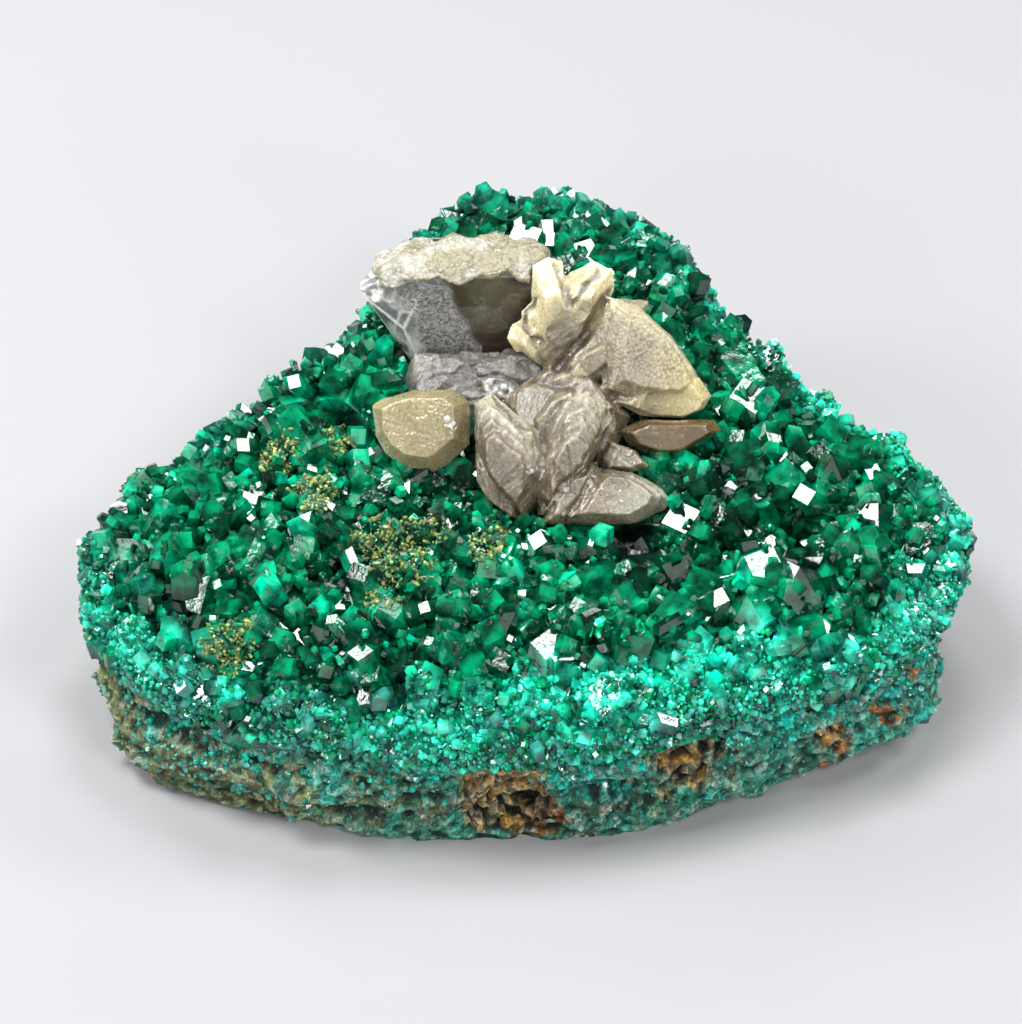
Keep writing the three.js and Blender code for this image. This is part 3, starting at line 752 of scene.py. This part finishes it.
def rock_tints(points, stand, grain, pick, pocket, pores):
    """Layered teal over olive, with grains of other colours, brown pockets and rust, painted shade in the
    crevices and the pores, and painted highlights on the crests

    A grain is a share that falls off from its middle, and pick is its random number.
    """
    patch = fractal(points, 8, 12)
    streak = fractal(points * (1, 1, 3.5), 5, 17)
    left = smooth(-points[:, 0] + 6 * patch, 6, 20)
    tint = blend(TEAL, TEAL_LIGHT, smooth(streak, -0.2, 0.3))
    tint = blend(tint, DEEP_GREEN, smooth(patch, 0.0, 0.5))
    tint = blend(tint, OLIVE, 0.85 * left)
    kind = (pick * 2 * len(GRAIN_COLOURS)).astype(int) % len(GRAIN_COLOURS)
    tint = blend(tint, GRAIN_COLOURS[kind], 0.55 * (pick < 0.5) * grain)
    speck = lattice(np.floor(points / SPECK_CELL).astype(np.int64), 5)
    tint = tint * (0.8 + 0.4 * speck)[:, None]
    high = smooth(points[:, 2] + 4 * patch + 3 * streak, 7, 14) * smooth(points[:, 0], -40, -16)
    tint = blend(tint, blend(UPPER_TEAL, UPPER_TEAL_LIGHT, pick), 0.85 * high)
    veins = smooth(noise(points, 2.4, 40), 0.3, 0.7) * smooth(noise(points, 9, 41), -0.3, 0.3)
    tint = blend(tint, VEIN_TEAL, 0.8 * veins)
    brown = blend(SANDY, BROWN, smooth(noise(points, 0.9, 50), -0.2, 0.6))
    # Painted shade: the pores turn black
    brown = blend(brown, PORE_PAINTED_SHADE, smooth(pores, 0.1, 0.5))
    tint = blend(tint, brown, pocket)
    rust = blend(RUST, RUST_DARK, smooth(noise(points, 0.8, 51), -0.3, 0.4))
    tint = blend(tint, rust, spot_share(points + 1.2 * noise(points, 1.2, 52)[:, None], RUST_SPOTS))
    # Painted shade in the crevices, then painted highlights on the crests
    tint = tint * (1 - 0.92 * smooth(-stand, 0.005, 0.13))[:, None]
    return blend(tint, CREST_PAINTED_HIGHLIGHT, 0.4 * smooth(stand, 0.06, 0.25))


def build_rock(material):
    """The matrix, rough and layered at its side and flat below"""
    rock = node_copy("matrix", "rock")
    fused(rock, ROCK_FACE)
    points, normals = points_of(rock), normals_of(rock)
    side = 1 - smooth(np.abs(normals[:, 2]), 0.5, 0.85)
    layered = points * (1, 1, 1.8)
    lumps = 1.2 * fractal(layered, 6, 1) - 0.9 * np.abs(noise(layered, 3.2, 7)) + 0.3 * noise(points, 1.2, 8)
    spread, pick = grains_of(points, 1.5, 3)
    grains = 0.7 * (0.5 - spread) * (0.4 + pick)
    pocket = spot_share(points + 1.6 * noise(points, 1.8, 33)[:, None], BROWN_POCKETS)
    pores = smooth(cellular(points, 1.0, 9), 0.45, 0.75)
    push = side * (lumps * (1 - 0.5 * pocket) + grains - pocket * (0.5 + 1.3 * pores))
    low = smooth(points[:, 2], 0.2, 1.4)
    direction = normals * np.stack([np.ones_like(low), np.ones_like(low), low], axis=1)
    move_points(rock, points + direction * push[:, None])
    grain = smooth(spread, 0.75, 0.35)
    store_tint(rock, rock_tints(points_of(rock), ridges_of(rock), grain, pick, pocket, pores))
    return dressed(rock, material, "rock", "matrix")


def build_rock_grains(rock, material):
    """The fine druse on the rock's side, thickest under the crust"""
    rng = np.random.default_rng(91)
    points, normals = scattered(triangles_of(rock), 0.62, rng)
    patch = fractal(points, 5, 44)
    high = smooth(points[:, 2] + 4 * patch, 6, 13)
    wanted = 0.16 + 0.8 * high - spot_share(points, BROWN_POCKETS)
    keep = (rng.random(len(points)) < wanted) & (normals[:, 2] > -0.6) & (points[:, 2] > 1.0)
    keep &= edge_share(points) > 0.8
    points, normals, high = points[keep], normals[keep], high[keep]
    count = len(points)
    widths = (0.14 + 0.3 * rng.random(count) ** 2) * (1 + 1.2 * smooth(points[:, 2], 10, 14))
    axes = unit(normals + 0.5 * rng.normal(size=(count, 3)))
    tints = blend(DRUSE_DARK, DRUSE_LIGHT, rng.random(count) * (0.4 + 0.6 * high))
    tints = blend(tints, DRUSE_PALE, 0.6 * (rng.random(count) < 0.2))
    grains = prism_crystals("rock_druse", points, axes, widths, 0.8 * widths, 0.3, tints, rng, sides=4,
                            painted_root_tip=ROCK_PAINTED_ROOT_TIP)
    return dressed(grains, material, "dioptase")


# Moss

# Mossy patches: u, v, radius in the drawing
MOSSY_PLACES = [
    (-24.6, 6.0, 1.9), (-21.0, 2.2, 2.0), (-18.8, 7.4, 1.5), (-11.4, -4.1, 3.6), (-8.3, -1.6, 1.6),
    (-28.8, -13.2, 2.8), (-3.0, -3.1, 1.6), (-13.4, -8.6, 1.8), (-15.6, -2.0, 1.4),
]
MOSS_DARK, MOSS_LIGHT = (0.05, 0.13, 0.02), (0.42, 0.50, 0.15)
MOSS_GREEN, MOSS_BROWN = (0.01, 0.14, 0.06), (0.24, 0.20, 0.08)


def build_moss(surface, material):
    """Yellow-green mossy growths of tiny tufts between the crystals"""
    rng = np.random.default_rng(95)
    triangles = np.concatenate([triangles_of(obj) for obj in surface])
    points, normals = scattered(triangles, 0.34, rng)
    share = spot_share(points + 0.9 * noise(points, 1.3, 61)[:, None], MOSSY_PLACES)
    tuft = smooth(noise(points, 1.1, 62), -0.5, 0.3)
    keep = (rng.random(len(points)) < 0.9 * share * tuft) & (normals[:, 2] > -0.2)
    points, normals = points[keep], normals[keep]
    count = len(points)
    widths = 0.09 + 0.17 * rng.random(count) ** 1.5
    axes = unit(normals + 0.6 * rng.normal(size=(count, 3)))
    tints = blend(MOSS_DARK, MOSS_LIGHT, rng.random(count) ** 1.5)
    tints = blend(tints, MOSS_GREEN, rng.random(count) < 0.35)
    tints = blend(tints, MOSS_BROWN, rng.random(count) < 0.08)
    heights = 0.15 + 0.5 * rng.random(count)
    tufts = prism_crystals("moss", points, axes, widths, heights, 0.3, tints, rng, sides=4)
    return dressed(tufts, material, "dioptase")


# Cerussite

TAN = (0.43, 0.37, 0.24)
PALE = (0.84, 0.75, 0.47)
GREYISH = (0.25, 0.215, 0.148)
BROWNISH = (0.29, 0.255, 0.17)
YELLOW = (0.54, 0.46, 0.22)
HONEY = (0.41, 0.35, 0.18)
PEACH = (0.17, 0.105, 0.03)
FOOT_BROWN, ROUGH_BROWN = (0.15, 0.11, 0.065), (0.13, 0.095, 0.055)
GROOVE_PAINTED_SHADE, CLEFT_PAINTED_SHADE = (0.16, 0.12, 0.07), (0.10, 0.07, 0.04)
CLEAN_PALE, RIM_PAINTED_HIGHLIGHT, SPARKLE_WHITE = (0.42, 0.42, 0.33), (0.66, 0.62, 0.48), (0.72, 0.72, 0.69)
# Each blade: its middle and its foot in the drawing, its middle's depth, the direction that it faces, how
# strongly it is ridged, and its colour
BLADES = [
    ((3.6, 20.6), (3.0, 14.0), 4.4, (0.25, -0.88, 0.4), 0.7, PALE),
    ((7.1, 21.2), (3.6, 14.2), 4.6, (-0.4, -0.85, 0.35), 0.8, PALE),
    ((1.2, 18.0), (3.1, 14.3), 3.9, (0.5, -0.7, 0.5), 0.8, PALE),
    ((2.0, 19.1), (3.2, 15.0), 3.7, (0.5, -0.8, 0.3), 0.8, PALE),
    ((8.9, 17.0), (4.4, 13.0), 4.6, (0.1, -0.6, 0.8), 1.2, GREYISH),
    ((8.5, 15.9), (4.7, 13.6), 6.8, (-0.2, -0.7, 0.7), 1.6, GREYISH),
    ((14.0, 15.9), (8.8, 12.6), 6.4, (0.3, -0.62, 0.72), 0.5, TAN),
    ((15.9, 11.4), (12.6, 11.2), 7.4, (0.15, -0.85, 0.5), 0.3, YELLOW),
    ((-1.1, 6.6), (1.5, -0.8), 11.4, (-0.25, -0.72, 0.64), 1.4, BROWNISH),
    ((5.6, 6.8), (1.7, -0.7), 11.6, (0.15, -0.78, 0.6), 1.4, GREYISH),
    ((-1.9, 3.0), (1.4, -1.2), 10.2, (-0.5, -0.7, 0.5), 1.4, GREYISH),
    ((3.8, 9.1), (1.6, 4.0), 8.6, (0.1, -0.7, 0.7), 1.4, GREYISH),
    ((5.9, 1.6), (2.4, -1.4), 12.4, (0.2, -0.6, 0.78), 1.5, GREYISH),
    ((11.2, 1.0), (5.0, -1.4), 12.2, (0.1, -0.5, 0.86), 0.6, BROWNISH),
    ((10.9, 5.4), (8.2, 5.4), 9.6, (0.1, -0.6, 0.8), 1.0, GREYISH),
]
LEFT_LENS = ((-10.4, 9.0), (-4.8, 7.0), 9.2, (-0.12, -0.62, 0.78), 0.25, HONEY)
RIGHT_LENS = ((16.4, 8.3), (10.4, 8.6), 8.0, (0, -0.8, 0.6), 0.5, PEACH)
# Clefts between and in the blades, sunk and darkened with painted shade: half width, then corners in the
# drawing
CLEFTS = [
    (0.6, (4.1, 25.9), (5.5, 21.8), (8.4, 25.2)),
    (0.8, (10.1, 23.1), (8.5, 21.3), (6.9, 18.4), (5.3, 16.3), (3.4, 14.0)),
    (0.5, (1.7, 22.4), (0.6, 20.2), (2.4, 17.6)),
    (0.8, (1.2, 13.8), (3.6, 13.4), (6.0, 13.0)),
    (0.6, (-2.1, 12.1), (0.6, 8.6), (2.1, 5.8), (2.6, 4.1)),
    (0.6, (9.8, 10.4), (8.4, 7.3), (6.9, 4.7), (4.8, 2.6), (2.1, 0.2)),
    (0.4, (8.4, 5.5), (7.2, 2.6), (4.8, -1.2)),
]
# Thin rims and seams that catch the light, lightened as painted highlights
BRIGHT_LINES = [
    (0.4, (-15.2, 11.0), (-14.4, 7.2), (-12.2, 4.8), (-8.4, 3.9)),
    (0.4, (10.6, 10.7), (14.0, 9.9), (17.5, 9.7), (20.4, 12.2)),
    (0.3, (4.0, 26.4), (5.7, 20.6), (8.8, 25.6)),
    (0.3, (2.4, 5.0), (6.2, 8.0), (8.6, 11.2)),
    (1.3, (-3.0, 11.3), (0.4, 7.9), (2.4, 4.9)),
    (0.7, (6.2, 12.0), (8.4, 11.2), (9.8, 9.0)),
    (0.3, (10.0, 6.0), (12.4, 4.4), (15.6, 1.6)),
]
# Where the blades sparkle, are brown and rough, are pale and clean, and are stippled rather than lined:
# u, v, radius in the drawing
SPARKLES = [(2.4, 4.6, 0.5), (1.4, 4.4, 0.5), (-7.2, 9.5, 0.5), (-6.6, 9.0, 0.4)]
BROWN_PLACES = [
    (1.5, 0.7, 2.6), (-2.6, 5.2, 1.8), (-0.6, 2.3, 2.0), (6.1, 1.6, 1.8), (9.5, 5.5, 2.2), (4.1, 13.6, 1.6),
]
PALE_PLACES = [(13.4, 1.2, 3.2), (6.4, 10.6, 1.8), (-3.4, 10.6, 1.6)]
STIPPLED_PLACES = [(14.6, 17.6, 5.0), (11.4, 17.4, 3.0)]
LINE_STRETCH = 16  # how much longer than wide the growth lines are
LINES_APART = 20  # keeps the growth lines of one blade from running on in the next
BLADE_FLATNESS = 1.8


def blade_distances(points, blades):
    """For each blade, how far every point lies from it, as a share of its size"""
    away = []
    for (u, v), foot, depth, face, _, _ in blades:
        offset = points - placed(u, v, depth)
        size = math.hypot(foot[0] - u, foot[1] - v)
        lift = np.abs(offset @ unit(np.array(face))) / BLADE_FLATNESS
        away.append(np.hypot(lift, np.linalg.norm(offset, axis=1) / size))
    return np.array(away)


def growth_of(points, blades, owner):
    """Places measured along, across and through each point's blade, and how near the blade's end they are"""
    lined = np.zeros((len(points), 3))
    reach = np.zeros(len(points))
    for index, ((u, v), foot, depth, face, _, _) in enumerate(blades):
        face = unit(np.array(face))
        rise = (u - foot[0]) * RIGHTWARD + (v - foot[1]) * UPWARD
        along = unit(rise - VIEWER * (rise @ face) / (VIEWER @ face))
        own = points[owner == index]
        across = own @ np.cross(face, along)
        through = own @ face + LINES_APART * index
        lined[owner == index] = np.stack([own @ along / LINE_STRETCH, across, through], axis=1)
        size = math.hypot(u - foot[0], v - foot[1])
        reach[owner == index] = (own - placed(u, v, depth)) @ along / size
    return lined, reach


def blade_marks(points, normals):
    """Shares of clefts, bright lines and sparkle, the first two only on the side that is drawn"""
    seen = smooth(normals @ VIEWER, -0.2, 0.3)
    cleft = line_share(points, CLEFTS) * seen
    bright = line_share(points, BRIGHT_LINES, 0.1) * seen
    return cleft, bright, spot_share(points, SPARKLES)


def blade_tints(points, stand, base, reach, marks, seed):
    """Base colours that run from brown at the foot to light at the end, with painted shade in grooves and
    clefts, and painted highlights on ridges, rims and sparkles
    """
    cleft, bright, sparkle = marks
    tint = base * (1 + 0.22 * fractal(points, 3, seed + 8))[:, None]
    tint = blend(tint, FOOT_BROWN, 0.6 * (1 - smooth(reach, -1.1, 0.1)))
    ragged = points + 1.1 * noise(points, 0.9, seed + 9)[:, None]
    tint = blend(tint, ROUGH_BROWN, 0.6 * spot_share(ragged, BROWN_PLACES))
    tint = blend(tint, CLEAN_PALE, 0.5 * spot_share(ragged, PALE_PLACES))
    # Lighter towards the blade's end, with painted highlights on the ridges
    tint = tint * (1 + 0.3 * smooth(reach, 0.3, 1.1) + 1.1 * smooth(stand, 0.02, 0.09))[:, None]
    # Painted shade in the grooves
    tint = blend(tint, GROOVE_PAINTED_SHADE, 0.35 * smooth(-stand, 0.02, 0.12))
    tint = blend(tint, CLEFT_PAINTED_SHADE, 0.75 * smooth(cleft, 0.1, 0.8))
    tint = blend(tint, RIM_PAINTED_HIGHLIGHT, 0.6 * smooth(bright, 0.0, 0.8))
    # Painted glints on the sparkling lumps
    return blend(tint, SPARKLE_WHITE, sparkle * smooth(stand, -0.05, 0.03))


def build_blades(name, node, blades, voxel, material, slot, seed):
    """Blades grown together, each finely ridged towards its foot"""
    obj = node_copy(node, name)
    fused(obj, voxel)
    relaxed(obj, 1)
    points, normals = points_of(obj), normals_of(obj)
    away = blade_distances(points, blades)
    owner = away.argmin(axis=0)
    lined, reach = growth_of(points, blades, owner)
    stippled = spot_share(points, STIPPLED_PLACES)
    lining = np.array([blade[4] for blade in blades])[owner] * (1 - stippled)
    marks = blade_marks(points, normals)
    cleft, _, sparkle = marks
    ridge = 0.08 * (1 - 2 * np.abs(noise(lined, 1.2, seed))) + 0.05 * noise(lined, 0.5, seed + 1)
    push = lining * ridge + 0.1 * fractal(points, 2.6, seed + 6) - 0.4 * cleft - 0.08
    push += stippled * 0.07 * (0.5 - cellular(points, 0.5, seed + 5))
    push += sparkle * 0.5 * (0.5 - cellular(points, 0.7, seed + 7))
    move_points(obj, points + normals * push[:, None])
    nearness = np.exp(-5 * away)
    base = (nearness / nearness.sum(axis=0)).T @ np.array([blade[-1] for blade in blades])
    store_tint(obj, blade_tints(points, ridges_of(obj), base, reach, marks, seed))
    store_places(obj, "lined", lined)
    store_share(obj, "lining", lining)
    store_share(obj, "stipple", 0.3 + 0.6 * stippled)
    return dressed(obj, material, slot, node)


# The smoky crystal's looks run along lines of the drawing that lean to the right going down
SMOKY_LEAN = 0.52
SMOKY_CUTS = 30
FROST_END, VEIL_END = 5.2, -0.4
# Where white bits sit on the smoky crystal's left shoulder
WHITE_BITS = [(-15.6, 26.4, 1.5), (-15.4, 23.6, 1.4), (-12.9, 26.6, 1.2)]
SHARP_DEGREES = 8
SMOKE_DARK, SMOKE_LIGHT = (0.07, 0.05, 0.032), (0.27, 0.22, 0.16)
FROST_LIGHT, FROST_DARK = (0.34, 0.34, 0.33), (0.19, 0.19, 0.18)
VEIL_GREY, VEIL_DARK = (0.46, 0.47, 0.46), (0.10, 0.10, 0.10)
WORN_EDGE_AND_HIGHLIGHT_WHITE, BIT_WHITE = (0.85, 0.85, 0.83), (0.90, 0.90, 0.88)


def sharp_edges(mesh):
    """The two ends of each edge between faces that meet at an angle"""
    sharp = [edge for edge in mesh.edges if edge.calc_face_angle(0) > math.radians(SHARP_DEGREES)]
    return [[np.array(vertex.co) / MM for vertex in edge.verts] for edge in sharp]


def edge_distance(points, edges):
    """How far points are from the nearest of the edges"""
    nearest = np.full(len(points), 99.0)
    for start, end in edges:
        way = end - start
        t = np.clip((points - start) @ way / (way @ way), 0, 1)
        nearest = np.minimum(nearest, np.linalg.norm(points - start - t[:, None] * way, axis=1))
    return nearest


def smoky_tints(points, place, frost, veil, worn_and_highlit, bits):
    """Brown smoke that is lighter in the middle, under frost, a cracked veil, worn edges whitened partly as
    painted highlights, and white bits
    """
    glow = smooth(place[:, 1], 16, 24) * (1 - smooth(np.abs(place[:, 0] + 3), 0, 5))
    tint = blend(SMOKE_DARK, SMOKE_LIGHT, glow)
    low = smooth(place[:, 1], 21, 15)
    tint = blend(tint, blend(FROST_LIGHT, FROST_DARK, low), 0.85 * frost)
    cracks = 1 - smooth(np.abs(noise(points, 2.1, 83)), 0.04, 0.16)
    tint = blend(tint, VEIL_GREY, veil * smooth(fractal(points, 1.8, 76), -0.3, 0.4))
    tint = blend(tint, VEIL_DARK, 0.8 * veil * smooth(-fractal(points, 2.2, 76), 0.1, 0.5))
    # Worn edges whitened, partly as painted highlights along the facet edges
    tint = blend(tint, WORN_EDGE_AND_HIGHLIGHT_WHITE, np.maximum(worn_and_highlit * (0.3 + 0.6 * veil), 0.7 * veil * cracks))
    return blend(tint, BIT_WHITE, bits * smooth(noise(points, 0.6, 80), -0.2, 0.2))


def build_smoky(material):
    """The large crystal: clear and smoky at the right, frosted in the middle, veiled at the left"""
    smoky = node_copy("cerussite_smoky_crystal", "smoky_crystal")
    mesh = bmesh.new()
    mesh.from_mesh(smoky.data)
    edges = sharp_edges(mesh)
    bmesh.ops.triangulate(mesh, faces=mesh.faces)
    bmesh.ops.subdivide_edges(mesh, edges=mesh.edges, cuts=SMOKY_CUTS, use_grid_fill=True)
    mesh.to_mesh(smoky.data)
    mesh.free()
    points, normals = points_of(smoky), normals_of(smoky)
    place = drawn(points)
    leaning = place[:, 0] + SMOKY_LEAN * place[:, 1] + 0.35 * noise(points, 1.5, 77)
    frost = 1 - smooth(leaning, FROST_END - 0.5, FROST_END + 0.3)
    veil = 1 - smooth(leaning, VEIL_END - 0.6, VEIL_END + 0.4)
    bits = spot_share(points + 0.5 * noise(points, 0.8, 78)[:, None], WHITE_BITS)
    # Near the sharp edges: frosted and rounded as worn, and whitened as painted highlights
    worn_and_highlit = 1 - smooth(edge_distance(points, edges), 0.05, 0.25)
    push = bits * 0.5 * (0.4 - cellular(points, 0.9, 79)) - 0.06 * worn_and_highlit
    move_points(smoky, points + normals * push[:, None])
    store_tint(smoky, smoky_tints(points, place, frost, veil, worn_and_highlit, bits))
    store_share(smoky, "pitted", frost * (1 - 0.7 * veil))
    store_share(smoky, "frost", np.clip(0.85 * frost - 0.3 * veil + worn_and_highlit + bits, 0, 1))
    return dressed(smoky, material, "smoky_cerussite", "cerussite_smoky_crystal")


GREY_CLEFTS = [
    (0.5, (-4.6, 15.6), (-4.4, 13.8), (-3.4, 12.0)),
    (0.4, (-4.4, 14.2), (-1.6, 14.4), (1.2, 13.4)),
]
GREY_SPARKLES = [(-2.7, 13.3, 0.8), (-1.2, 12.8, 0.8), (0.3, 12.2, 0.9), (1.4, 12.6, 0.6)]
GREY_DARK, GREY_LIGHT, GREY_SPECK = (0.16, 0.15, 0.13), (0.30, 0.285, 0.25), (0.10, 0.09, 0.075)
GREY_CLEFT_PAINTED_SHADE, GREY_PAINTED_GLINT = (0.05, 0.045, 0.04), (0.88, 0.88, 0.85)


def build_grey(material):
    """The grey crystal, stepped and cleft with painted shade in the clefts, with sparkling lumps at its right
    that carry painted glints
    """
    grey = node_copy("cerussite_grey_crystal", "grey_crystal")
    fused(grey, FINE_FACE)
    relaxed(grey, 1)
    points, normals = points_of(grey), normals_of(grey)
    cleft = line_share(points, GREY_CLEFTS) * smooth(normals @ VIEWER, -0.2, 0.3)
    push = 0.3 * np.round(1.5 * fractal(points, 3.2, 71)) + 0.2 * fractal(points, 1.8, 75) - 0.4 * cleft - 0.2
    move_points(grey, points + normals * push[:, None])
    sparkle = spot_share(points, GREY_SPARKLES)
    lumps = sparkle * 0.7 * (0.5 - cellular(points, 0.8, 73))
    move_points(grey, points_of(grey) + normals * lumps[:, None])
    stand = ridges_of(grey)
    tint = blend(GREY_DARK, GREY_LIGHT, smooth(fractal(points, 1.4, 72), -0.5, 0.5))
    tint = blend(tint, GREY_SPECK, 0.5 * smooth(noise(points, 0.5, 74), 0.3, 0.6))
    # Painted shade in the clefts
    tint = blend(tint, GREY_CLEFT_PAINTED_SHADE, 0.8 * cleft)
    # Painted glints on the sparkling lumps
    tint = blend(tint, GREY_PAINTED_GLINT, sparkle * smooth(stand, -0.06, 0.04))
    store_tint(grey, tint)
    store_share(grey, "stipple", np.full(len(points), 0.6))
    return dressed(grey, material, "grey_cerussite", "cerussite_grey_crystal")


CRUST_TAN, CRUST_CREAM, CRUST_PAINTED_SHADE = (0.25, 0.23, 0.15), (0.36, 0.35, 0.295), (0.26, 0.21, 0.12)


def build_white_crust(material):
    """The sugary crust on top of the smoky crystal"""
    crust = node_copy("white_crust", "cream_crust")
    fused(crust, FINE_FACE)
    relaxed(crust, 14)
    points, normals = points_of(crust), normals_of(crust)
    push = 0.16 * fractal(points, 1.6, 80) + 0.2 * (0.5 - cellular(points, 0.6, 81))
    move_points(crust, points + normals * push[:, None])
    points = points_of(crust)
    stand = ridges_of(crust)
    tint = blend(CRUST_TAN, CRUST_CREAM, smooth(fractal(points, 2.0, 82), -0.3, 0.3))
    # Painted shade in the hollows
    tint = blend(tint, CRUST_PAINTED_SHADE, 0.5 * smooth(-stand, 0.02, 0.15))
    store_tint(crust, tint)
    return dressed(crust, material, "white_crust", "white_crust")


# The whole scene

make_camera()
make_studio()
make_floor()

cerussite_nodes = ["cerussite_blade_cluster", "cerussite_smoky_crystal", "cerussite_grey_crystal",
                   "cerussite_left_lens", "cerussite_right_lens"]
seat_tree = tree_of(np.concatenate([triangles_of(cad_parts[node]) for node in cerussite_nodes]))

dioptase = dioptase_material("dioptase", 0.45)
turquoise = dioptase_material("turquoise_druse", 0.1, 0.25)
rock = build_rock(rock_material())
build_rock_grains(rock, turquoise)
green = build_dioptase(dioptase, turquoise, seat_tree)
build_moss(green, moss_material())
cerussite = cerussite_material()
build_blades("blade_cluster", "cerussite_blade_cluster", BLADES, 0.17, cerussite, "tan_cerussite", 60)
build_blades("left_lens", "cerussite_left_lens", [LEFT_LENS], 0.15, cerussite, "yellow_cerussite", 160)
build_blades("right_lens", "cerussite_right_lens", [RIGHT_LENS], 0.15, cerussite, "yellow_cerussite", 170)
build_grey(cerussite)
build_smoky(smoky_material())
build_white_crust(crust_material())
